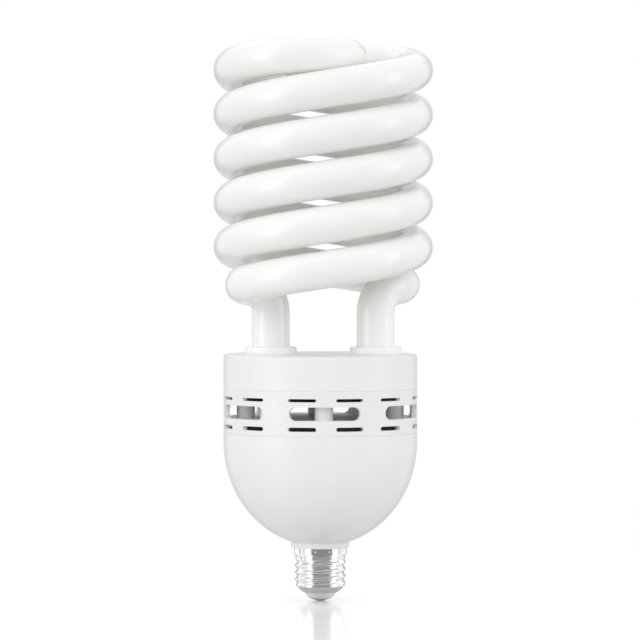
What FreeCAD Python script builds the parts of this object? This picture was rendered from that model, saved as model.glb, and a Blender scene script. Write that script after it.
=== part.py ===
import FreeCAD, Part
import os
from math import acos, asin, ceil, cos, degrees, pi, radians, sin, sqrt, tan

# Spiral energy saving lamp on a screw cap, all sizes in millimetres.
# The origin is the tip of the cap's centre contact and +Z runs up the axis.
# The lamp is seen in front view along +Y, and azimuths run from +X towards +Y.

V = FreeCAD.Vector
UP = V(0, 0, 1)
ORIGIN = V(0, 0, 0)

# How far a cutter or a joined solid runs past a face, and how closely a level is matched
overrun = 0.5
level_match = 0.01

# Screw cap
thread_diameter = 26.4
thread_depth = 1.1
thread_pitch = 25.4 / 7
thread_length = 14.4
thread_crest_phase = 8.73
shell_wall = 0.3
shell_fit = 0.1
skirt_diameter = 27.2
skirt_length = 5.3
skirt_band_diameter = 26.0
skirt_band = 1.4
skirt_flare = 0.6
crimp_count = 11
crimp_radius = 0.9
crimp_depth = 0.18
crimp_level = 3.9
crimp_first_azimuth = -101.6
contact_height = 4.4
contact_radius = 8.25
contact_shoulder_height = 1.95
contact_shoulder_radius = 6.45
contact_wall = 0.5
insulator_height = 3.3
insulator_radius = 12.5
insulator_foot_radius = 8.6
insulator_bulge = 0.25
insulator_plug = 2.6
lead_hole_radius = 1.6

# Ballast housing, a deep bowl on a neck
housing_radius = 49.8
seam_edge = 0.35
bowl_wall = 2.2
bowl_depth = 53.8
bowl_foot_radius = 16.1
bowl_side = 4.9
neck_radius = 14.9
neck_height = 3.4
neck_edge = 0.8
neck_wall = 2.0
spigot_length = 12.0
rib_count = 6
rib_width = 1.8
rib_reach = 4.0
rib_length = 15.0
rib_first_azimuth = 12.0

# Vent ring between the bowl and the cover
ring_height = 22.8
ring_wall = 2.7
ring_spigot = 3.0
ring_spigot_wall = 1.5
window_count = 6
window_angle = 42.65
window_height = 6.9
window_level = 11.5
window_turn = 2.8
slot_angle = 16.7
slot_spacing = 28.5
slot_group = 3
slot_groups = 4
slot_turn = 17.7
upper_slot_height = 1.6
upper_slot_level = 18.3
lower_slot_height = 2.1
lower_slot_level = 3.7
ledge_height = 0.8
ledge_reach = 1.6

# Ballast lid and heat shield, the two discs seen through the windows
disc_fit = 0.2
lid_level = 5.6
lid_thickness = 2.2
air_gap = 7.5
shield_thickness = 2.0
post_count = 8
post_radius = 4.7
post_inset = 8.8
post_turn = 2.7
post_bore = 2.4

# Tube cover with its two sockets
cover_height = 17.5
cover_wall = 2.2
cover_edge = 1.2
cover_lip = 2.8
cover_lip_wall = 1.8
lip_fit = 0.15
collar_radius = 13.2
collar_height = 3.7
collar_edge = 0.4
socket_guide = 8.0
cement_thickness = 2.0

# Glass tube, two strands that meet on the axis
tube_radius = 9.6
tube_fit = 0.15
glass_offset = 1.5
leg_offset = 26.9
leg_seat = 17.6
leg_free = 17.8
bend_radius = 13.0
bend_heading = 219.0
bend_slope = 6.0
curl_reach = 1.25
join_azimuth = 222.0
coil_radius = 46.8
half_pitch = 22.68
half_turns = 4
first_pass_rise = 33.6
crown_turn = 172.0
crown_power = 1.22
crown_rise = 6.1
crest_turn = 73.0
crown_dip = 1.4
spline_step = 15.0
tangent_step = 0.01

# Circuit board and what hangs from it
board_thickness = 1.6
board_fit = 0.6
choke_width = 30.0
choke_depth = 11.0
choke_height = 28.0
choke_leg = 5.0
choke_air_gap = 0.4
choke_bobbin_wall = 1.0
choke_slack = 0.32
choke_fit = 0.2
choke_place = (-15.0, 2.0)
capacitor_radius = 9.0
capacitor_height = 36.0
capacitor_edge = 1.0
capacitor_groove = 0.8
capacitor_place = (16.0, -12.0)
film_size = (18.0, 8.0, 14.0)
film_place = (4.0, 24.0)
small_film_size = (12.5, 5.0, 10.0)
small_film_places = ((-24.0, -20.0), (-6.0, -31.0))
film_edge = 0.6
core_radius = 7.0
core_bore = 4.0
core_height = 6.0
core_place = (31.0, 3.0)
core_turns = 9
core_wire = 0.6
core_clear = 0.05
transistor_size = (10.0, 4.4, 9.0)
transistor_legs = 3.5
leg_width = 0.8
leg_pitch = 2.54
transistor_tab = (10.0, 1.3, 6.4)
transistor_hole = 1.8
transistor_places = ((-22.0, 25.0), (-34.0, 14.0))
transistor_azimuths = (131.0, 157.0)
sink_size = (14.0, 1.5, 22.0)
diode_radius = 1.35
diode_length = 5.2
diode_place = (-2.0, -20.0)
diode_spacing = 5.0
axial_lead = 0.4
axial_stand = 2.2
axial_reach = 2.0
drum_radius = 5.0
drum_height = 10.0
drum_flange = 1.2
drum_waist = 2.4
drum_place = (27.0, -24.0)
drum_winding_gap = 0.6
fuse_radius = 2.0
fuse_length = 11.0
fuse_place = (35.0, -13.5)
thermistor_radius = 5.0
thermistor_thickness = 3.0
thermistor_place = (26.0, 22.0)
resistor_radius = 1.25
resistor_length = 6.5
resistor_row = -4.0
resistor_column = -28.0
resistor_gap = 2.2

# Insulated leads
lead_radius = 0.7
lead_spacing = 2.0
lead_bend = 2.2
lead_rise = 3.6
supply_bend = 6.0
supply_fall = 14.0
live_place = (4.0, 8.0)
neutral_place = (4.0, 4.0)

# Levels up the axis
insulator_bottom = contact_height
shell_bottom = insulator_bottom + insulator_height
skirt_bottom = shell_bottom + thread_length
band_top = skirt_bottom + skirt_band
flare_top = band_top + skirt_flare
cap_top = skirt_bottom + skirt_length
bowl_bottom = cap_top + neck_height
bowl_centre = bowl_bottom + bowl_depth * sqrt(1 - (bowl_foot_radius / housing_radius) ** 2)
ring_bottom = bowl_centre + bowl_side
ring_top = ring_bottom + ring_height
cover_top = ring_top + cover_height
collar_top = cover_top + collar_height
leg_bottom = collar_top - leg_seat
leg_top = collar_top + leg_free
lid_bottom = ring_bottom + lid_level
lid_top = lid_bottom + lid_thickness
shield_bottom = lid_top + air_gap
shield_top = shield_bottom + shield_thickness
board_top = ring_bottom - ring_spigot - disc_fit
board_bottom = board_top - board_thickness
first_pass = leg_top + first_pass_rise

# Radii that follow from the walls
bowl_inside = housing_radius - bowl_wall
ring_inside = housing_radius - ring_wall
thread_inside = thread_diameter / 2 - thread_depth - shell_wall
skirt_inside = skirt_diameter / 2 - shell_wall
board_radius = bowl_inside - board_fit
post_circle = ring_inside - post_inset

# What the choke's windows leave for its spool and its coil
choke_window_width = choke_width / 2 - 2 * choke_leg
choke_window_height = choke_height - 2 * choke_leg
choke_wall = choke_fit + choke_bobbin_wall
choke_winding_gap = choke_slack * (choke_window_width - choke_wall)
bobbin_depth = choke_depth + 2 * (choke_window_width - choke_fit)
winding_depth = choke_depth + 2 * (choke_window_width - choke_winding_gap)


def polar(radius, azimuth, z=0.0):
    return V(radius * cos(radians(azimuth)), radius * sin(radians(azimuth)), z)


def turned(shape, angle, centre=ORIGIN):
    copy = shape.copy()
    copy.rotate(centre, UP, angle)
    return copy


def moved(shape, x=0.0, y=0.0, z=0.0):
    copy = shape.copy()
    copy.translate(V(x, y, z))
    return copy


def disc(radius, bottom, top, x=0.0, y=0.0):
    return Part.makeCylinder(radius, top - bottom, V(x, y, bottom))


def tube(outer, inner, bottom, top, x=0.0, y=0.0):
    return disc(outer, bottom, top, x, y).cut(disc(inner, bottom, top, x, y))


def block(size, bottom, x=0.0, y=0.0):
    """Box of size (width, depth, height), centred on x and y."""
    return Part.makeBox(size[0], size[1], size[2], V(x - size[0] / 2, y - size[1] / 2, bottom))


def spun(edges):
    """Solid of revolution of a closed outline in the XZ plane."""
    return Part.Face(Part.Wire(edges)).revolve(ORIGIN, UP, 360)


def lines(points):
    """Straight edges through (radius, height) points."""
    corners = [V(r, 0, z) for r, z in points]
    return [Part.LineSegment(a, b).toShape() for a, b in zip(corners, corners[1:])]


def edges_at(shape, level):
    """Level edges of a turned shape at a height."""
    return [e for e in shape.Edges if abs(e.BoundBox.ZMin - level) + e.BoundBox.ZLength < level_match]


def join(shapes):
    shapes = list(shapes)
    return shapes[0].multiFuse(shapes[1:]).removeSplitter() if len(shapes) > 1 else shapes[0]


def solid(shape):
    """The one solid that an operation left inside a compound."""
    assert len(shape.Solids) == 1, "a sub-part fell into %d solids" % len(shape.Solids)
    return shape.Solids[0]


def ease(t):
    """Smooth step from 0 to 1 with level ends."""
    return t * t * (3 - 2 * t)


# Glass tube

last_pass = 360.0 + 180.0 * half_turns


def crown_radius(turn):
    """Distance from the coil's axis once the strand has turned past its last pass."""
    return coil_radius * cos(pi / 2 * (turn / crown_turn) ** crown_power)


def crown_height(turn):
    """Rise past the last pass: up to a crest, then a slight dip to the axis."""
    t = min(1.0, turn / crest_turn)
    climb = ease(t) * crown_rise + t * (1 - t) ** 2 * half_pitch * crest_turn / 180
    return climb - crown_dip * ease(max(0.0, (turn - crest_turn) / (crown_turn - crest_turn)))


def coil_point(azimuth):
    """Point of the strand's centre line on the coil or on its crown."""
    z = first_pass + (min(azimuth, last_pass) - 360) / 180 * half_pitch
    if azimuth <= last_pass:
        return polar(coil_radius, azimuth, z)
    turn = azimuth - last_pass
    return polar(crown_radius(turn), azimuth, z + crown_height(turn))


def coil_direction(azimuth, step):
    """Change of the centre line per degree, measured over a small step."""
    return (coil_point(azimuth + step) - coil_point(azimuth)) / step


def spiral_edge():
    """Coil and crown as one spline through points of the two formulas."""
    turn = last_pass + crown_turn - join_azimuth
    count = ceil(turn / spline_step)
    azimuths = [join_azimuth + turn * k / count for k in range(count + 1)]
    curve = Part.BSplineCurve()
    curve.interpolate(Points=[coil_point(a) for a in azimuths], Parameters=azimuths, Scale=False,
                      InitialTangent=coil_direction(azimuths[0], tangent_step),
                      FinalTangent=coil_direction(azimuths[-1], -tangent_step))
    return curve.toShape()


def strand_path():
    """Centre line of one strand: leg, bend, curl out to the coil, coil and crown."""
    foot = V(-leg_offset, 0, leg_bottom)
    knee = V(-leg_offset, 0, leg_top)
    heading = polar(1, bend_heading)

    def on_bend(angle):
        across = heading * (bend_radius * (1 - cos(radians(angle))))
        return knee + across + UP * (bend_radius * sin(radians(angle)))

    bend_angle = 90 - bend_slope
    bend_end = on_bend(bend_angle)
    leaving = heading * cos(radians(bend_slope)) + UP * sin(radians(bend_slope))
    joint = coil_point(join_azimuth)
    arriving = coil_direction(join_azimuth, tangent_step).normalize()
    handle = (joint - bend_end).Length / 3
    curl = Part.BezierCurve()
    curl.setPoles([bend_end, bend_end + leaving * handle * curl_reach, joint - arriving * handle, joint])
    return Part.Wire([Part.LineSegment(foot, knee).toShape(),
                      Part.Arc(knee, on_bend(bend_angle / 2), bend_end).toShape(),
                      curl.toShape(), spiral_edge()])


def spiral_tube():
    """Sealed glass tube: a swept strand and its half-turned twin, joined on the axis."""
    section = Part.Wire(Part.Circle(V(-leg_offset, 0, leg_bottom), UP, tube_radius).toShape())
    strand = strand_path().makePipeShell([section], True, False)
    return moved(solid(strand.fuse(turned(strand, 180))), glass_offset)


def leg_places():
    return [(glass_offset - leg_offset, 0.0), (glass_offset + leg_offset, 0.0)]


def tube_cement():
    """Two rings of cement that hold the legs in their sockets."""
    top = collar_top - socket_guide
    return Part.makeCompound([tube(tube_radius + cement_thickness, tube_radius, leg_bottom, top, x, y)
                              for x, y in leg_places()])


# Tube cover

def tube_cover():
    """Shallow cup with a lip below and two tube sockets through its top."""
    body = disc(housing_radius, ring_top, cover_top)
    body = body.makeFillet(cover_edge, edges_at(body, cover_top))
    body = body.makeChamfer(seam_edge, edges_at(body, ring_top))
    body = body.cut(disc(housing_radius - cover_wall, ring_top, cover_top - cover_wall))
    lip_radius = ring_inside - lip_fit
    lip_bore = lip_radius - cover_lip_wall
    body = body.fuse(tube(lip_radius, lip_bore, ring_top - cover_lip, ring_top))
    body = body.fuse(tube(housing_radius - cover_wall / 2, lip_bore, ring_top, ring_top + cover_wall))
    for x, y in leg_places():
        socket = disc(collar_radius, leg_bottom, collar_top, x, y)
        body = body.fuse(socket.makeFillet(collar_edge, edges_at(socket, collar_top)))
    for x, y in leg_places():
        body = body.cut(disc(tube_radius + tube_fit, leg_bottom, collar_top, x, y))
        body = body.cut(disc(tube_radius + cement_thickness, leg_bottom, collar_top - socket_guide, x, y))
    return solid(body.removeSplitter())


# Vent ring

def wall_opening(centre, angle, level, height):
    """Stadium-shaped cutter through the ring's wall, centred at an azimuth."""
    inner = ring_inside - ledge_reach - overrun
    outer = housing_radius + overrun
    half = angle / 2 - degrees(height / 2 / housing_radius)
    outline = lines([(inner, level - height / 2), (outer, level - height / 2),
                     (outer, level + height / 2), (inner, level + height / 2),
                     (inner, level - height / 2)])
    middle = turned(Part.Face(Part.Wire(outline)).revolve(ORIGIN, UP, 2 * half), centre - half)
    ends = [Part.makeCylinder(height / 2, outer - inner, polar(inner, centre + side, level),
                              polar(1, centre + side)) for side in (-half, half)]
    return join([middle] + ends)


def window_azimuths():
    return [window_turn - 90 + 360 * k / window_count for k in range(window_count)]


def slot_azimuths():
    places = []
    for group in range(slot_groups):
        for k in range(slot_group):
            offset = (k - (slot_group - 1) / 2) * slot_spacing
            places.append(slot_turn - 90 + 360 * group / slot_groups + offset)
    return places


def vent_ring():
    """Ring with six windows, two rows of slots, an inner ledge and a spigot below."""
    seat = lid_bottom
    wall = disc(housing_radius, ring_bottom, ring_top)
    wall = wall.makeChamfer(seam_edge, edges_at(wall, ring_bottom) + edges_at(wall, ring_top))
    body = join([wall.cut(disc(ring_inside, ring_bottom, ring_top)),
                 tube(ring_inside + overrun, ring_inside - ledge_reach, seat - ledge_height, seat),
                 tube(bowl_inside - lip_fit, bowl_inside - lip_fit - ring_spigot_wall,
                      ring_bottom - ring_spigot, ring_bottom + ledge_reach)])
    cutters = [wall_opening(a, window_angle, ring_bottom + window_level, window_height)
               for a in window_azimuths()]
    for level, height in ((upper_slot_level, upper_slot_height), (lower_slot_level, lower_slot_height)):
        cutters += [wall_opening(a, slot_angle, ring_bottom + level, height) for a in slot_azimuths()]
    return solid(body.cut(cutters))


# Lid, heat shield and posts

def post_azimuths():
    return [post_turn + 360 * k / post_count for k in range(post_count)]


def ballast_lid():
    """Disc that closes the ballast, with a hole under each post."""
    plate = disc(ring_inside - disc_fit, lid_bottom, lid_top)
    holes = [moved(disc(post_bore, lid_bottom, lid_top), *polar(post_circle, a)) for a in post_azimuths()]
    return solid(plate.cut(holes))


def heat_shield():
    """Disc below the tube's ends, carried by hollow posts that stand on the lid."""
    body = join([disc(ring_inside - disc_fit, shield_bottom, shield_top)] +
                [moved(disc(post_radius, lid_top, shield_top), *polar(post_circle, a))
                 for a in post_azimuths()])
    bores = [moved(disc(post_bore, lid_top, shield_top), *polar(post_circle, a)) for a in post_azimuths()]
    return solid(body.cut(bores))


# Ballast housing

def bowl_edge(radius, depth, low, high):
    """Part of a quarter ellipse between two heights; Part wants its longer axis first."""
    pole = V(0, 0, bowl_centre - depth)
    side = V(radius, 0, bowl_centre)
    centre = V(0, 0, bowl_centre)
    drops = ((bowl_centre - high) / depth, (bowl_centre - low) / depth)
    if depth > radius:
        angles = sorted(acos(drop) for drop in drops)
        return Part.ArcOfEllipse(Part.Ellipse(pole, side, centre), *angles).toShape()
    angles = sorted(asin(drop) for drop in drops)
    return Part.ArcOfEllipse(Part.Ellipse(side, pole, centre), *angles).toShape()


def bowl_radius(radius, depth, z):
    """Radius of the bowl's ellipse at a height."""
    return radius * sqrt(1 - ((bowl_centre - min(z, bowl_centre)) / depth) ** 2)


def round_corner(radius, z, edge):
    """Quarter arc round the lower outer corner at (radius, z)."""
    slant = edge * (1 - sqrt(1 / 2))
    middle = V(radius - slant, 0, z + slant)
    return Part.Arc(V(radius - edge, 0, z), middle, V(radius, 0, z + edge)).toShape()


def ballast_housing():
    """Bowl, neck and the spigot that carries the screw shell, with ribs for the board."""
    spigot_radius = thread_inside - shell_fit
    bore = spigot_radius - neck_wall
    inner_depth = bowl_depth - bowl_wall
    inner_low = bowl_centre - inner_depth * sqrt(1 - (bore / bowl_inside) ** 2)
    spigot_bottom = cap_top - spigot_length
    outer_line = lines([(bore, spigot_bottom), (spigot_radius, spigot_bottom),
                        (spigot_radius, flare_top), (skirt_inside - shell_fit, flare_top),
                        (skirt_inside - shell_fit, cap_top), (neck_radius - neck_edge, cap_top)])
    outer_line += [round_corner(neck_radius, cap_top, neck_edge)]
    outer_line += lines([(neck_radius, cap_top + neck_edge), (neck_radius, bowl_bottom),
                         (bowl_foot_radius, bowl_bottom)])
    rim_line = lines([(housing_radius, bowl_centre), (housing_radius, ring_bottom - seam_edge),
                      (housing_radius - seam_edge, ring_bottom), (bowl_inside, ring_bottom),
                      (bowl_inside, bowl_centre)])
    outline = outer_line + [bowl_edge(housing_radius, bowl_depth, bowl_bottom, bowl_centre)]
    outline += rim_line + [bowl_edge(bowl_inside, inner_depth, inner_low, bowl_centre)]
    outline += lines([(bore, inner_low), (bore, spigot_bottom)])
    body = spun(Part.sortEdges(outline)[0])
    return solid(join([body] + board_ribs()))


def board_ribs():
    """Upright ribs on the bowl's wall, whose tops carry the board."""
    ribs = []
    for k in range(rib_count):
        low = board_bottom - rib_length
        inner = bowl_inside - rib_reach
        foot = bowl_radius(bowl_inside, bowl_depth - bowl_wall, low) + bowl_wall / 2
        side = bowl_inside + bowl_wall / 2
        outline = lines([(inner, board_bottom), (side, board_bottom), (side, bowl_centre - bowl_side),
                         (foot, low), (inner, low), (inner, board_bottom)])
        rib = moved(Part.Face(Part.Wire(outline)), 0, -rib_width / 2).extrude(V(0, rib_width, 0))
        ribs.append(turned(rib, rib_first_azimuth + 360 * k / rib_count))
    return ribs


# Screw cap

def thread_wave(azimuth, z):
    """Depth of the rolled thread below its crest, 0 at the crest and 1 in the groove."""
    rise = (z - shell_bottom - thread_crest_phase) / thread_pitch - azimuth / 360
    return (1 - cos(2 * pi * rise)) / 2


def thread_radius(azimuth, z, inset):
    """Radius of the rolled wall; the thread fades into a plain rim at both ends."""
    fade = thread_pitch / 2
    low = ease(min(1.0, (z - shell_bottom) / fade))
    high = ease(min(1.0, (skirt_bottom - z) / fade))
    amount = thread_wave(azimuth, z) * low * high
    rim = (1 - low * high) / 2
    crest = thread_diameter / 2 - inset
    return crest - thread_depth * (amount + rim)


def thread_surface(inset, columns=32, rows_per_turn=9):
    """Closed wavy wall as one spline surface over a grid from the thread's formula."""
    rows = ceil(thread_length / thread_pitch * rows_per_turn)
    grid = []
    for i in range(rows + 1):
        z = shell_bottom + thread_length * i / rows
        azimuths = [90 + 360 * j / columns for j in range(columns + 1)]
        grid.append([polar(thread_radius(a, z, inset), a, z) for a in azimuths])
    surface = Part.BSplineSurface()
    surface.interpolate(grid)
    return surface.toShape()


def thread_plug(inset):
    """Solid inside one thread surface, closed by flat ends."""
    wall = thread_surface(inset)
    ends = []
    for level in (shell_bottom, skirt_bottom):
        ends.append(Part.Face(Part.Wire(edges_at(wall, level))))
    shell = Part.makeCompound([wall] + ends)
    shell.sewShape()
    plug = Part.Solid(shell.Shells[0])
    if plug.Volume < 0:
        plug.reverse()
    return plug


def screw_shell():
    """Rolled metal shell: thread, narrow band, flare and wider skirt, all of one wall."""
    thread = thread_plug(0).cut(thread_plug(shell_wall))
    step = shell_wall / 3
    rim = thread_diameter / 2 - thread_depth / 2 + step
    band = skirt_band_diameter / 2
    skirt = skirt_diameter / 2
    profile = [(rim, skirt_bottom), (band, band_top), (skirt, flare_top), (skirt, cap_top)]
    inside = [(radius - shell_wall, z) for radius, z in reversed(profile)]
    plain = spun(lines(profile + inside + profile[:1]))
    shell = solid(thread.fuse(plain))
    return solid(shell.cut(crimp_marks()))


def crimp_marks():
    """Balls that press the shallow crimp marks into the skirt."""
    reach = skirt_diameter / 2 + crimp_radius - crimp_depth
    azimuths = [crimp_first_azimuth + 360 * k / crimp_count for k in range(crimp_count)]
    return [Part.makeSphere(crimp_radius, polar(reach, a, skirt_bottom + crimp_level)) for a in azimuths]


def dome_arc(radius, height, tip):
    """Arc from the axis out to (radius, height) on a sphere that is level at the axis."""
    rise = height - tip
    sphere = (radius ** 2 + rise ** 2) / (2 * rise)
    half = radius / 2
    middle = tip + sphere - sqrt(sphere ** 2 - half ** 2)
    return Part.Arc(V(0, 0, tip), V(half, 0, middle), V(radius, 0, height)).toShape()


def bulged(r1, z1, r2, z2, rise):
    """Arc from (r1, z1) to (r2, z2) that swells outwards and down by rise."""
    across = V(z2 - z1, 0, r1 - r2).normalize()
    middle = V((r1 + r2) / 2, 0, (z1 + z2) / 2) + across * rise
    return Part.Arc(V(r1, 0, z1), middle, V(r2, 0, z2)).toShape()


def contact_outline(wall):
    """Dome and cone of the contact, inset by a wall."""
    shoulder = (contact_shoulder_radius - wall, contact_shoulder_height + wall / 2)
    edges = [dome_arc(shoulder[0], shoulder[1], wall)]
    return edges + lines([shoulder, (contact_radius - wall, contact_height)])


def centre_contact():
    """Pressed metal cup that closes the cap's end."""
    outline = contact_outline(0) + contact_outline(contact_wall)
    outline += lines([(0, 0), (0, contact_wall)])
    outline += lines([(contact_radius, contact_height), (contact_radius - contact_wall, contact_height)])
    return solid(spun(Part.sortEdges(outline)[0]))


def cap_insulator():
    """Insulating cone between shell and contact, with a plug in the shell and a lead hole."""
    plug_radius = thread_inside - shell_fit
    plug_top = shell_bottom + insulator_plug
    foot = (insulator_foot_radius, contact_height)
    outline = contact_outline(contact_wall)
    outline += lines([(contact_radius - contact_wall, contact_height), foot])
    outline += [bulged(*foot, insulator_radius, shell_bottom, insulator_bulge)]
    outline += lines([(insulator_radius, shell_bottom), (plug_radius, shell_bottom),
                      (plug_radius, plug_top), (0, plug_top), (0, contact_wall)])
    body = spun(Part.sortEdges(outline)[0])
    return solid(body.cut(disc(lead_hole_radius, 0, plug_top)))


# Circuit board and its components

def hung(height):
    """Level of the underside of something that hangs below the board."""
    return board_bottom - height


def circuit_board():
    return disc(board_radius, board_bottom, board_top)


def choke_core():
    """Two E shaped halves that meet, but for the air gap, at mid height."""
    x, y = choke_place
    low = hung(choke_height)
    whole = block((choke_width, choke_depth, choke_height), low, x, y)
    window = (choke_window_width, choke_depth, choke_window_height)
    shift = choke_leg + choke_window_width / 2
    for side in (-shift, shift):
        whole = whole.cut(block(window, low + choke_leg, x + side, y))
    gap = block((choke_width, choke_depth, choke_air_gap), low + (choke_height - choke_air_gap) / 2, x, y)
    return whole.cut(gap)


def choke_bobbin():
    """Spool on the core's middle leg."""
    x, y = choke_place
    low = hung(choke_height - choke_leg) + choke_fit
    height = choke_window_height - 2 * choke_fit
    bore = (2 * (choke_leg + choke_fit), choke_depth + 2 * choke_fit, height)
    barrel = (2 * (choke_leg + choke_wall), choke_depth + 2 * choke_wall, height)
    flange = (choke_width - 2 * (choke_leg + choke_fit), bobbin_depth, choke_bobbin_wall)
    body = join([block(barrel, low, x, y), block(flange, low, x, y),
                 block(flange, low + height - choke_bobbin_wall, x, y)])
    return solid(body.cut(block(bore, low, x, y)))


def choke_winding():
    """Wound coil between the spool's flanges, rounded at its corners."""
    x, y = choke_place
    low = hung(choke_height - choke_leg) + choke_wall
    height = choke_window_height - 2 * choke_wall
    bore = (2 * (choke_leg + choke_wall), choke_depth + 2 * choke_wall, height)
    width = choke_width - 2 * (choke_leg + choke_winding_gap)
    coil = block((width, winding_depth, height), low, x, y)
    corners = [e for e in coil.Edges if e.BoundBox.ZLength > height / 2]
    coil = coil.makeFillet((width - bore[0]) / 3, corners)
    return solid(coil.cut(block(bore, low, x, y)))


def bulk_capacitor():
    """Electrolytic can with a rolled groove near its board end."""
    x, y = capacitor_place
    low = hung(capacitor_height)
    can = disc(capacitor_radius, low, board_bottom, x, y)
    can = can.makeFillet(capacitor_edge, edges_at(can, low))
    groove = Part.makeTorus(capacitor_radius + capacitor_groove / 2, capacitor_groove,
                            V(x, y, board_bottom - 3 * capacitor_groove))
    return solid(can.cut(groove))


def film_block(size, place):
    x, y = place
    body = block(size, hung(size[2]), x, y)
    free = [e for e in body.Edges if e.BoundBox.ZMin < board_bottom - level_match]
    return body.makeFillet(film_edge, free)


def resonant_capacitor():
    return film_block(film_size, film_place)


def film_capacitors():
    return Part.makeCompound([film_block(small_film_size, place) for place in small_film_places])


def drive_core():
    """Ring core that lies flat under the board on its own turns of wire."""
    x, y = core_place
    top = hung(2 * core_wire + core_clear)
    return tube(core_radius, core_bore, top - core_height, top, x, y)


def drive_windings():
    """Turns of wire round the ring core."""
    offset = core_wire + core_clear
    top = hung(core_wire)
    low = hung(2 * core_wire + core_clear) - core_height - offset
    corners = [V(core_bore - offset, 0, low), V(core_radius + offset, 0, low),
               V(core_radius + offset, 0, top), V(core_bore - offset, 0, top)]
    turn = wire_along(corners, core_wire - core_clear, core_wire, closed=True)
    return Part.makeCompound([moved(turned(turn, 360 * k / core_turns), *core_place)
                              for k in range(core_turns)])


def transistor(place, azimuth):
    """Power transistor, legs up, with its tab facing outwards."""
    depth, height = transistor_size[1:]
    legs = [block((leg_width, leg_width, transistor_legs), hung(transistor_legs), k * leg_pitch, 0)
            for k in (-1, 0, 1)]
    body = block(transistor_size, hung(transistor_legs + height))
    tab = block(transistor_tab, hung(transistor_legs + height + transistor_tab[2]), 0,
                (depth - transistor_tab[1]) / 2)
    hole_level = hung(transistor_legs + height + transistor_tab[2] / 2)
    hole = Part.makeCylinder(transistor_hole, depth, V(0, 0, hole_level), V(0, 1, 0))
    whole = solid(join(legs + [body, tab]).cut(hole))
    return moved(turned(whole, azimuth - 90), *place)


def power_transistors():
    return Part.makeCompound([transistor(*both) for both in zip(transistor_places, transistor_azimuths)])


def heat_sinks():
    """Metal plates behind the transistors' tabs."""
    plates = []
    for place, azimuth in zip(transistor_places, transistor_azimuths):
        plate = block(sink_size, hung(sink_size[2]), 0, (transistor_size[1] + sink_size[1]) / 2)
        plates.append(moved(turned(plate, azimuth - 90), *place))
    return Part.makeCompound(plates)


def axial_part(radius, length, place, azimuth):
    """Small part on its side, with a lead bent up to the board at each end."""
    axis = hung(radius + axial_stand)
    body = Part.makeCylinder(radius, length, V(-length / 2, 0, axis), V(1, 0, 0))
    reach = length / 2 + axial_reach
    staple = wire_along([V(-reach, 0, board_bottom), V(-reach, 0, axis), V(reach, 0, axis),
                         V(reach, 0, board_bottom)], axial_lead, 2 * axial_lead)
    return moved(turned(solid(join([body, staple])), azimuth), *place)


def rectifier_diodes():
    x, y = diode_place
    offsets = [(k - 1.5) * diode_spacing for k in range(4)]
    return Part.makeCompound([axial_part(diode_radius, diode_length, (x + dx, y), 90) for dx in offsets])


def fuse_resistor():
    return axial_part(fuse_radius, fuse_length, fuse_place, 90)


def resistors():
    """Two resistors side by side beside the choke and one in front of its spool."""
    beside = choke_place[0] - choke_width / 2 - resistor_gap - resistor_radius
    spacing = 2 * resistor_radius + resistor_gap
    in_front = choke_place[1] - bobbin_depth / 2 - resistor_gap - resistor_radius
    spots = [((beside, resistor_row), 90), ((beside - spacing, resistor_row), 90),
             ((resistor_column, in_front), 0)]
    return Part.makeCompound([axial_part(resistor_radius, resistor_length, place, azimuth)
                              for place, azimuth in spots])


def filter_core():
    """Drum core with a flange at each end."""
    x, y = drum_place
    low = hung(drum_height)
    return solid(join([disc(drum_waist, low, board_bottom, x, y),
                       disc(drum_radius, low, low + drum_flange, x, y),
                       disc(drum_radius, board_bottom - drum_flange, board_bottom, x, y)]))


def filter_winding():
    x, y = drum_place
    return tube(drum_radius - drum_winding_gap, drum_waist, hung(drum_height - drum_flange),
                board_bottom - drum_flange, x, y)


def preheat_thermistor():
    """Ceramic disc on edge, with two leads up to the board."""
    x, y = thermistor_place
    centre = hung(thermistor_radius + axial_stand)
    body = Part.makeCylinder(thermistor_radius, thermistor_thickness,
                             V(x, y - thermistor_thickness / 2, centre), V(0, 1, 0))
    half = thermistor_radius / 2
    leads = [disc(axial_lead, centre, board_bottom, x + side, y) for side in (-half, half)]
    return solid(join([body] + leads))


# Wires

def round_bar(start, end, radius):
    return Part.makeCylinder(radius, (end - start).Length, start, end - start)


def elbow(start, end, centre, radius):
    """Round bar bent along the arc from start to end about a centre."""
    axis = (start - centre).cross(end - centre)
    along = axis.cross(start - centre)
    section = Part.Face(Part.Wire(Part.Circle(start, along, radius).toShape()))
    return section.revolve(centre, axis, degrees((start - centre).getAngle(end - centre)))


def wire_along(points, radius, bend, closed=False):
    """Round wire of straight runs through the points, with a bend at each corner."""
    count = len(points)
    corners = range(count) if closed else range(1, count - 1)
    ends = []
    pieces = []
    for k in corners:
        corner = points[k]
        back = (points[k - 1] - corner).normalize()
        ahead = (points[(k + 1) % count] - corner).normalize()
        half = back.getAngle(ahead) / 2
        start = corner + back * (bend / tan(half))
        end = corner + ahead * (bend / tan(half))
        centre = corner + (back + ahead).normalize() * (bend / sin(half))
        pieces.append(elbow(start, end, centre, radius))
        ends += [start, end]
    route = ends[1:] + ends[:1] if closed else [points[0]] + ends + [points[-1]]
    runs = [round_bar(a, b, radius) for a, b in zip(route[::2], route[1::2])]
    return solid(join(pieces + runs))


def filament_lead(side, offset):
    """Lead from a leg's end, out to the nearest post and down its bore to the board."""
    leg_x, leg_y = leg_places()[side]
    post = polar(post_circle, post_turn + 180 * (1 - side))
    level = shield_top + lead_rise
    shift = offset * lead_spacing / 2
    points = [V(leg_x, leg_y + shift, leg_bottom), V(leg_x, leg_y + shift, level),
              V(post.x, post.y + shift, level), V(post.x, post.y + shift, board_top)]
    return wire_along(points, lead_radius, lead_bend)


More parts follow.
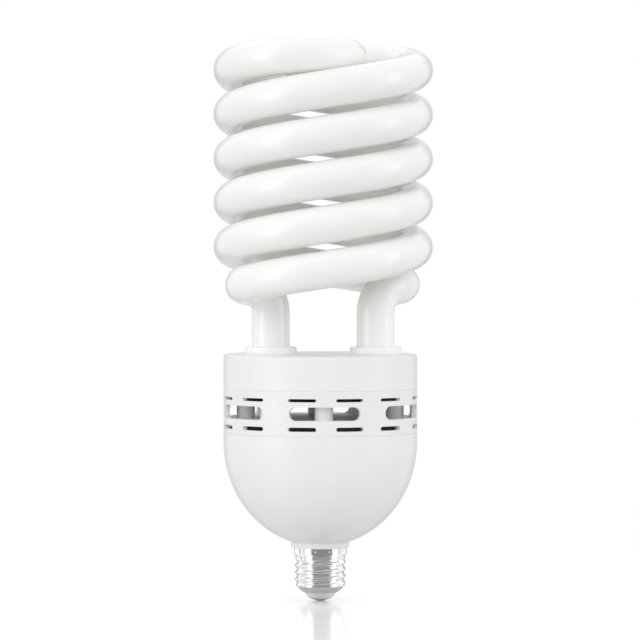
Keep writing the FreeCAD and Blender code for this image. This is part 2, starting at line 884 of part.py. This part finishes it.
def live_lead():
    """Lead from the board down the neck and through the insulator to the contact."""
    x, y = live_place
    entry = bowl_bottom + neck_height
    points = [V(x, y, board_bottom), V(x, y, entry + supply_fall), V(0, 0, entry),
              V(0, 0, contact_wall + shell_fit)]
    return wire_along(points, lead_radius, supply_bend)


def neutral_lead():
    """Lead from the board down the neck, past the spigot's end and out to the shell."""
    x, y = neutral_place
    bore = thread_inside - shell_fit - neck_wall
    inside = bore - 2 * lead_radius
    level = cap_top - spigot_length - 2 * lead_radius - shell_fit
    sides = (level - lead_radius, level + lead_radius)
    end = min(thread_radius(0, z, shell_wall) for z in sides) - shell_fit
    entry = bowl_bottom + neck_height
    points = [V(x, y, board_bottom), V(x, y, entry + supply_fall), V(inside, 0, entry),
              V(inside, 0, level), V(end, 0, level)]
    return wire_along(points, lead_radius, supply_bend / 3)


nodes = {
    "spiral_tube": spiral_tube,
    "tube_cement": tube_cement,
    "tube_cover": tube_cover,
    "vent_ring": vent_ring,
    "heat_shield": heat_shield,
    "ballast_lid": ballast_lid,
    "ballast_housing": ballast_housing,
    "screw_shell": screw_shell,
    "cap_insulator": cap_insulator,
    "centre_contact": centre_contact,
    "circuit_board": circuit_board,
    "choke_core": choke_core,
    "choke_bobbin": choke_bobbin,
    "choke_winding": choke_winding,
    "bulk_capacitor": bulk_capacitor,
    "resonant_capacitor": resonant_capacitor,
    "film_capacitors": film_capacitors,
    "drive_core": drive_core,
    "drive_windings": drive_windings,
    "power_transistors": power_transistors,
    "heat_sinks": heat_sinks,
    "rectifier_diodes": rectifier_diodes,
    "fuse_resistor": fuse_resistor,
    "resistors": resistors,
    "filter_core": filter_core,
    "filter_winding": filter_winding,
    "preheat_thermistor": preheat_thermistor,
    "filament_lead_left_front": lambda: filament_lead(0, -1),
    "filament_lead_left_back": lambda: filament_lead(0, 1),
    "filament_lead_right_front": lambda: filament_lead(1, -1),
    "filament_lead_right_back": lambda: filament_lead(1, 1),
    "live_lead": live_lead,
    "neutral_lead": neutral_lead,
}

os.makedirs("parts", exist_ok=True)
for name, make in nodes.items():
    shape = make()
    assert shape.isValid(), name
    shape.exportStep("parts/" + name + ".step")
    print(name, len(shape.Solids), round(shape.Volume, 1))
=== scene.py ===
import bpy
from math import atan2, cos, radians, sin
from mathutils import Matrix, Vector

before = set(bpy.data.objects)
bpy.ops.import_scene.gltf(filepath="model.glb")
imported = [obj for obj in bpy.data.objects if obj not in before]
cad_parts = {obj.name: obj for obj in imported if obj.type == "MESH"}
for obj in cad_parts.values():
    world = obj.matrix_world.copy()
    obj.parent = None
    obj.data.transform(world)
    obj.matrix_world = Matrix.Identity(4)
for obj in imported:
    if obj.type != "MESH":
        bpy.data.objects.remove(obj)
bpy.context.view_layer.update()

# Spiral energy saving lamp, upright on its cap in a bright white studio.
# All sizes are metres; the origin is the tip of the cap and +Z runs up the axis.

# Camera, fitted to the photograph's seams and rims
photo_side_px = 640
focal_px = 4240
sensor_width = 36
camera_place = Vector((0, -2.1788, 0.1963))
camera_target = Vector((0, 0, 0.1444))
axis_column_px = 320.3

# Light. Azimuths are degrees to the right of the camera's side, elevations degrees above the floor.
# Sky that lights matte surfaces: (height of the direction from -1 to 1, level)
sky_levels = ((-1, 0.42), (-0.001, 0.42), (0, 0.05), (0.5, 1.16), (1, 0.05))
brightest_sky = 1.16
# Broad soft lobes added to that sky: (azimuth, elevation, level)
sky_lobes = ((0, 10, 1.40), (-80, 4, 0.42), (80, 4, 0.36))
lobe_power = 8
# Surround that gloss and metal reflect: (azimuth, level)
surround_levels = (
    (-180, 0.80), (-171, 0.80), (-164, 0.50), (-150, 0.50), (-142, 1.15), (-105, 1.15),
    (-100, 0.22), (-95, 1.15), (-82, 1.15), (-77, 0.55), (-72, 1.15), (-43, 1.15),
    (-36, 0.25), (50, 0.25), (57, 1.15), (83, 1.15), (90, 0.25), (97, 1.15),
    (142, 1.15), (150, 0.50), (164, 0.50), (171, 0.80), (180, 0.80),
)
brightest_surround = 1.15
light_target = Vector((0, 0, 0.15))
light_distance = 1.3

# Soft boxes: azimuth, elevation, (width, height), power
soft_boxes = {
    "key": (-56, 10, (0.42, 1.05), 2.3),
    "fill": (79, 14, (0.42, 1.05), 1.6),
    "top": (0, 85, (1.4, 1.4), 2.2),
    "back_top": (180, 45, (1.4, 0.8), 2.2),
}

# Painted light on the collars round the tube's ends: the level where they rise from the cover, the
# height over which the colour changes, and the whiter colour painted there for the light that falls on
# them
collar_foot = 0.1269
collar_blend = 0.001
collar_painted_light = (0.995, 0.998, 0.985, 1)

# Mould grain on the plastics
plastic_roughness_spread = 0.015
plastic_grain_strength = 0.015

# Floor: it fades out from floor_fade to its edge. The lift is the glow that only the camera sees,
# less of it where the object shades the floor.
floor_radius = 0.34
floor_sides = 96
floor_fade = 0.20
floor_paint = 0.74
floor_gloss = 0.75
floor_roughness = 0.16
floor_lift = 0.30
floor_lift_in_shade = 0.13
floor_shade_reach = 0.14


class Recipe:
    """Short way to write a node material."""

    def __init__(self, name):
        self.material = bpy.data.materials.new(name)
        self.material.use_nodes = True
        self.nodes = self.material.node_tree.nodes
        self.links = self.material.node_tree.links
        self.nodes.clear()
        self.output = self.nodes.new("ShaderNodeOutputMaterial")
        self.coordinates = self.nodes.new("ShaderNodeTexCoord").outputs["Object"]

    def node(self, kind, inputs=None, **settings):
        """New node with its settings, and its inputs set or linked."""
        made = self.nodes.new(kind)
        for key, value in settings.items():
            setattr(made, key, value)
        for key, value in (inputs or {}).items():
            self.feed(made.inputs[key], value)
        return made

    def feed(self, socket, value):
        """Link a socket to another, or set its own value."""
        if isinstance(value, bpy.types.NodeSocket):
            self.links.new(value, socket)
        else:
            socket.default_value = value

    def stretched(self, scale):
        """Object coordinates scaled per axis."""
        mapping = self.node("ShaderNodeMapping", {"Vector": self.coordinates, "Scale": scale})
        return mapping.outputs["Vector"]

    def noise(self, scale, detail=3.0, vector=None):
        made = self.node("ShaderNodeTexNoise", {"Vector": vector or self.coordinates, "Scale": scale,
                                                "Detail": detail, "Roughness": 0.55})
        return made.outputs["Fac"]

    def ramp(self, factor, low, high, start=0.3, end=0.7):
        """Colour or grey that runs from low to high as factor runs from start to end."""
        made = self.node("ShaderNodeValToRGB", {"Fac": factor})
        made.color_ramp.elements[0].position = start
        made.color_ramp.elements[1].position = end
        made.color_ramp.elements[0].color = (*low, 1)
        made.color_ramp.elements[1].color = (*high, 1)
        return made.outputs["Color"]

    def number(self, factor, low, high, start=0.3, end=0.7):
        """Number that runs from low to high as factor runs from start to end."""
        made = self.node("ShaderNodeMapRange", {"Value": factor, "From Min": start, "From Max": end,
                                                "To Min": low, "To Max": high})
        return made.outputs["Result"]

    def bump(self, height, distance, strength):
        inputs = {"Height": height, "Distance": distance, "Strength": strength}
        return self.node("ShaderNodeBump", inputs).outputs["Normal"]

    def mixed(self, factor, first, second):
        return self.node("ShaderNodeMixShader", {0: factor, 1: first, 2: second}).outputs[0]

    def surface(self, inputs):
        """Finish the material with one principled shader."""
        shader = self.node("ShaderNodeBsdfPrincipled", inputs)
        self.links.new(shader.outputs["BSDF"], self.output.inputs["Surface"])
        return self.material


def tinted(colour, factor):
    """Colour with each channel scaled."""
    return tuple(min(1.0, channel * factor) for channel in colour)


def coated_glass():
    """White tube: clear glass over a slightly uneven white powder coating."""
    recipe = Recipe("phosphor_glass")
    cloud = recipe.noise(38, 4)
    powder = recipe.noise(1400, 2)
    colour = recipe.ramp(cloud, (0.942, 0.95, 0.928), (0.972, 0.978, 0.955), 0.25, 0.75)
    return recipe.surface({
        "Base Color": colour,
        "Roughness": recipe.number(powder, 0.52, 0.62),
        "Normal": recipe.bump(powder, 0.00002, 0.2),
        "IOR": 1.5,
        "Coat Weight": 1.0,
        "Coat Roughness": 0.11,
        "Coat IOR": 1.5,
    })


def moulded_plastic(name, colour, roughness, paint_collar_light=False):
    """Moulded plastic: faint flow marks, fine grain and a soft gloss, with painted light that whitens
    the tube's collars.
    """
    recipe = Recipe(name)
    flow = recipe.noise(16, 3, recipe.stretched((1, 1, 0.4)))
    skin = recipe.noise(950, 3)
    paint = recipe.ramp(flow, tinted(colour, 0.985), colour)
    if paint_collar_light:
        # Painted light: above the collar foot the colour turns whiter, standing in for the light that
        # falls on the collars
        height = recipe.node("ShaderNodeSeparateXYZ", {0: recipe.coordinates}).outputs["Z"]
        rise = recipe.number(height, 0.0, 1.0, collar_foot, collar_foot + collar_blend)
        inputs = {0: rise, 6: paint, 7: collar_painted_light}
        paint = recipe.node("ShaderNodeMix", inputs, data_type="RGBA").outputs[2]
    return recipe.surface({
        "Base Color": paint,
        "Roughness": recipe.number(skin, roughness - plastic_roughness_spread,
                                   roughness + plastic_roughness_spread),
        "Normal": recipe.bump(skin, 0.00003, plastic_grain_strength),
        "IOR": 1.48,
    })


def plated_metal(name, colour, roughness, tarnish, metallic=1.0):
    """Plated metal with fine marks that run round the axis, a little stained."""
    recipe = Recipe(name)
    marks = recipe.noise(900, 4, recipe.stretched((0.25, 0.25, 4)))
    stain = recipe.noise(110, 5)
    return recipe.surface({
        "Base Color": recipe.ramp(stain, tarnish, colour, 0.32, 0.5),
        "Metallic": metallic,
        "Roughness": recipe.number(stain, roughness + 0.10, roughness, 0.3, 0.6),
        "Normal": recipe.bump(marks, 0.00002, 0.25),
    })


def fired_insulator():
    """Grey insulator with a faintly mottled, satin face."""
    recipe = Recipe("cap_insulator")
    mottle = recipe.noise(420, 4)
    return recipe.surface({
        "Base Color": recipe.ramp(mottle, (0.54, 0.55, 0.55), (0.63, 0.64, 0.64)),
        "Roughness": recipe.number(mottle, 0.35, 0.5),
        "Normal": recipe.bump(mottle, 0.00008, 0.3),
    })


def grainy(name, colour, roughness, scale, depth, spread=0.75):
    """Matte pressed or moulded material with visible grain."""
    recipe = Recipe(name)
    grain = recipe.noise(scale, 5)
    return recipe.surface({
        "Base Color": recipe.ramp(grain, tinted(colour, spread), colour),
        "Roughness": recipe.number(grain, roughness - 0.08, roughness + 0.08),
        "Normal": recipe.bump(grain, depth, 0.4),
    })


def laminate():
    """Brown resin bonded paper board with visible fibres."""
    recipe = Recipe("board")
    fibres = recipe.noise(700, 4, recipe.stretched((1, 0.15, 1)))
    return recipe.surface({
        "Base Color": recipe.ramp(fibres, (0.38, 0.24, 0.10), (0.58, 0.40, 0.19)),
        "Roughness": recipe.number(fibres, 0.45, 0.6),
        "Normal": recipe.bump(fibres, 0.00005, 0.3),
    })


def wound_wire():
    """Enamelled copper wire wound in close turns up the axis."""
    recipe = Recipe("enamelled_copper")
    inputs = {"Vector": recipe.coordinates, "Scale": 420, "Distortion": 0.6}
    turns = recipe.node("ShaderNodeTexWave", inputs, bands_direction="Z").outputs["Fac"]
    return recipe.surface({
        "Base Color": recipe.ramp(turns, (0.30, 0.09, 0.03), (0.75, 0.34, 0.14), 0.1, 0.8),
        "Metallic": 0.8,
        "Roughness": recipe.number(turns, 0.42, 0.28),
        "Normal": recipe.bump(turns, 0.0002, 0.7),
        "Coat Weight": 0.5,
        "Coat Roughness": 0.15,
    })


# Material of each CAD node, or of the first of the nodes that share one
node_materials = {
    "spiral_tube": coated_glass(),
    # The cover gets painted light on its collars
    "tube_cover": moulded_plastic("white_cover", (0.892, 0.900, 0.882), 0.34, paint_collar_light=True),
    "vent_ring": moulded_plastic("white_ring", (0.876, 0.884, 0.868), 0.36),
    "ballast_housing": moulded_plastic("white_bowl", (0.880, 0.888, 0.874), 0.30),
    "heat_shield": moulded_plastic("shield_plastic", (0.92, 0.93, 0.92), 0.45),
    "ballast_lid": moulded_plastic("lid_plastic", (0.93, 0.935, 0.93), 0.42),
    "screw_shell": plated_metal("nickel_shell", (0.86, 0.86, 0.855), 0.06, (0.76, 0.76, 0.75)),
    "cap_insulator": fired_insulator(),
    "centre_contact": plated_metal("contact_metal", (0.86, 0.86, 0.855), 0.42, (0.77, 0.77, 0.76), 0.40),
    "tube_cement": grainy("cement", (0.84, 0.82, 0.76), 0.85, 600, 0.0003),
    "circuit_board": laminate(),
    "choke_core": grainy("ferrite", (0.10, 0.10, 0.11), 0.55, 800, 0.0001),
    "choke_bobbin": moulded_plastic("bobbin", (0.74, 0.74, 0.70), 0.5),
    "choke_winding": wound_wire(),
    "bulk_capacitor": moulded_plastic("capacitor_sleeve", (0.04, 0.06, 0.14), 0.3),
    "resonant_capacitor": grainy("film_capacitor", (0.42, 0.10, 0.06), 0.3, 250, 0.0001),
    "power_transistors": grainy("transistor_case", (0.06, 0.06, 0.06), 0.5, 1500, 0.00005),
    "heat_sinks": plated_metal("sink_plate", (0.75, 0.75, 0.76), 0.35, (0.66, 0.66, 0.67)),
    "rectifier_diodes": grainy("diode_case", (0.07, 0.07, 0.07), 0.45, 1500, 0.00005),
    "fuse_resistor": grainy("fuse_body", (0.48, 0.55, 0.42), 0.6, 900, 0.0001),
    "resistors": grainy("resistor_body", (0.58, 0.47, 0.30), 0.4, 900, 0.00005),
    "preheat_thermistor": grainy("thermistor_disc", (0.16, 0.20, 0.15), 0.45, 700, 0.0001),
    "filament_lead_left_front": grainy("silicone_sleeve", (0.82, 0.80, 0.76), 0.6, 1200, 0.00003,
                                       spread=0.94),
    "live_lead": grainy("live_sleeve", (0.24, 0.08, 0.04), 0.45, 1200, 0.00003),
    "neutral_lead": grainy("neutral_sleeve", (0.08, 0.14, 0.36), 0.45, 1200, 0.00003),
}
same_material = {
    "film_capacitors": "resonant_capacitor",
    "drive_core": "choke_core",
    "drive_windings": "choke_winding",
    "filter_core": "choke_core",
    "filter_winding": "choke_winding",
    "filament_lead_left_back": "filament_lead_left_front",
    "filament_lead_right_front": "filament_lead_left_front",
    "filament_lead_right_back": "filament_lead_left_front",
}


def dress_nodes():
    """Give every CAD node its material."""
    for name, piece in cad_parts.items():
        material = node_materials[same_material.get(name, name)]
        for material_slot in piece.material_slots:
            material_slot.material = material


def white_floor():
    """White floor with a soft reflection, which fades into the white background."""
    bpy.ops.mesh.primitive_circle_add(vertices=floor_sides, radius=floor_radius, fill_type="NGON")
    floor = bpy.context.object
    floor.name = "floor"
    recipe = Recipe("floor_white")
    length = recipe.node("ShaderNodeVectorMath", {0: recipe.coordinates}, operation="LENGTH")
    fade = recipe.number(length.outputs["Value"], 0.0, 1.0, floor_fade, floor_radius)
    matte = recipe.node("ShaderNodeBsdfDiffuse", {"Color": (*(floor_paint,) * 3, 1)})
    gloss = recipe.node("ShaderNodeBsdfGlossy", {"Color": (1, 1, 1, 1), "Roughness": floor_roughness})
    sheet = recipe.mixed(floor_gloss, matte.outputs[0], gloss.outputs[0])
    seen = recipe.node("ShaderNodeLightPath").outputs["Is Camera Ray"]
    shade = recipe.node("ShaderNodeAmbientOcclusion", {"Distance": floor_shade_reach}).outputs["AO"]
    open_sky = recipe.number(shade, floor_lift_in_shade, floor_lift, 0.0, 1.0)
    lift = recipe.node("ShaderNodeMath", {0: seen, 1: open_sky}, operation="MULTIPLY").outputs[0]
    glow = recipe.node("ShaderNodeEmission", {"Color": (1, 1, 1, 1), "Strength": lift})
    lit = recipe.node("ShaderNodeAddShader", {0: sheet, 1: glow.outputs[0]})
    clear = recipe.node("ShaderNodeBsdfTransparent")
    whole = recipe.mixed(fade, lit.outputs[0], clear.outputs[0])
    recipe.links.new(whole, recipe.output.inputs["Surface"])
    floor.data.materials.append(recipe.material)


def direction_to(azimuth, elevation):
    """Unit vector from the object towards an azimuth and elevation."""
    turn, rise = radians(azimuth), radians(elevation)
    return Vector((cos(rise) * sin(turn), -cos(rise) * cos(turn), sin(rise)))


def white_world():
    """White for the camera, the graded surround for glossy rays and the sky for all others."""
    world = bpy.data.worlds.new("studio")
    bpy.context.scene.world = world
    world.use_nodes = True
    nodes, links = world.node_tree.nodes, world.node_tree.links
    nodes.clear()

    def background(strength):
        made = nodes.new("ShaderNodeBackground")
        made.inputs["Color"].default_value = (1, 1, 1, 1)
        made.inputs["Strength"].default_value = strength
        return made

    def worked(operation, first, second):
        made = nodes.new("ShaderNodeMath")
        made.operation = operation
        links.new(first, made.inputs[0])
        made.inputs[1].default_value = second
        return made.outputs[0]

    def graded(factor, levels, brightest):
        """Background whose strength follows (position, level) pairs along a factor."""
        ramp = nodes.new("ShaderNodeValToRGB")
        while len(ramp.color_ramp.elements) < len(levels):
            ramp.color_ramp.elements.new(1)
        for element, (position, level) in zip(ramp.color_ramp.elements, levels):
            element.position = position
            element.color = (*(level / brightest,) * 3, 1)
        links.new(factor, ramp.inputs["Fac"])
        made = background(brightest)
        links.new(ramp.outputs["Color"], made.inputs["Color"])
        return made.outputs[0]

    direction = nodes.new("ShaderNodeTexCoord").outputs["Generated"]
    turn = nodes.new("ShaderNodeMapping")
    turn.inputs["Rotation"].default_value = (0, 0, radians(90))
    links.new(direction, turn.inputs["Vector"])
    azimuth = nodes.new("ShaderNodeTexGradient")
    azimuth.gradient_type = "RADIAL"
    links.new(turn.outputs["Vector"], azimuth.inputs["Vector"])
    round_levels = [(angle / 360 + 0.5, level) for angle, level in surround_levels]
    surround = graded(azimuth.outputs["Fac"], round_levels, brightest_surround)

    parts = nodes.new("ShaderNodeSeparateXYZ")
    links.new(direction, parts.inputs[0])
    height = nodes.new("ShaderNodeMapRange")
    height.inputs["From Min"].default_value = -1
    links.new(parts.outputs["Z"], height.inputs["Value"])
    rise_levels = [(z / 2 + 0.5, level) for z, level in sky_levels]
    sky = graded(height.outputs["Result"], rise_levels, brightest_sky)
    for azimuth_deg, elevation_deg, level in sky_lobes:
        facing = nodes.new("ShaderNodeVectorMath")
        facing.operation = "DOT_PRODUCT"
        links.new(direction, facing.inputs[0])
        facing.inputs[1].default_value = direction_to(azimuth_deg, elevation_deg)
        front = worked("MAXIMUM", facing.outputs["Value"], 0.0)
        narrow = worked("POWER", front, lobe_power)
        lobe = background(1.0)
        links.new(worked("MULTIPLY", narrow, level), lobe.inputs["Strength"])
        both = nodes.new("ShaderNodeAddShader")
        links.new(sky, both.inputs[0])
        links.new(lobe.outputs[0], both.inputs[1])
        sky = both.outputs[0]

    rays = nodes.new("ShaderNodeLightPath")
    lighting = nodes.new("ShaderNodeMixShader")
    links.new(rays.outputs["Is Glossy Ray"], lighting.inputs[0])
    links.new(sky, lighting.inputs[1])
    links.new(surround, lighting.inputs[2])
    whole = nodes.new("ShaderNodeMixShader")
    links.new(rays.outputs["Is Camera Ray"], whole.inputs[0])
    links.new(lighting.outputs[0], whole.inputs[1])
    links.new(background(1.0).outputs[0], whole.inputs[2])
    links.new(whole.outputs[0], nodes.new("ShaderNodeOutputWorld").inputs[0])


def soft_box(name, azimuth, elevation, size, power):
    """Rectangular area light that faces the object."""
    light = bpy.data.lights.new(name, "AREA")
    light.shape = "RECTANGLE"
    light.size, light.size_y = size
    light.energy = power
    lamp = bpy.data.objects.new(name, light)
    outward = direction_to(azimuth, elevation)
    lamp.location = light_target + outward * light_distance
    lamp.rotation_euler = (-outward).to_track_quat("-Z", "Y").to_euler()
    bpy.context.collection.objects.link(lamp)


def photo_camera():
    """Camera with the photograph's viewing angle and frame."""
    camera = bpy.data.cameras.new("camera")
    camera.sensor_width = sensor_width
    camera.lens = focal_px / photo_side_px * sensor_width
    camera.shift_x = (photo_side_px / 2 - axis_column_px) / photo_side_px
    camera.clip_end = 50
    view = bpy.data.objects.new("camera", camera)
    view.location = camera_place
    drop = camera_place - camera_target
    view.rotation_euler = (radians(90) - atan2(drop.z, -drop.y), 0, 0)
    bpy.context.collection.objects.link(view)
    bpy.context.scene.camera = view


dress_nodes()
white_floor()
white_world()
for box_name, box in soft_boxes.items():
    soft_box(box_name, *box)
photo_camera()
bpy.context.scene.view_settings.view_transform = "Standard"
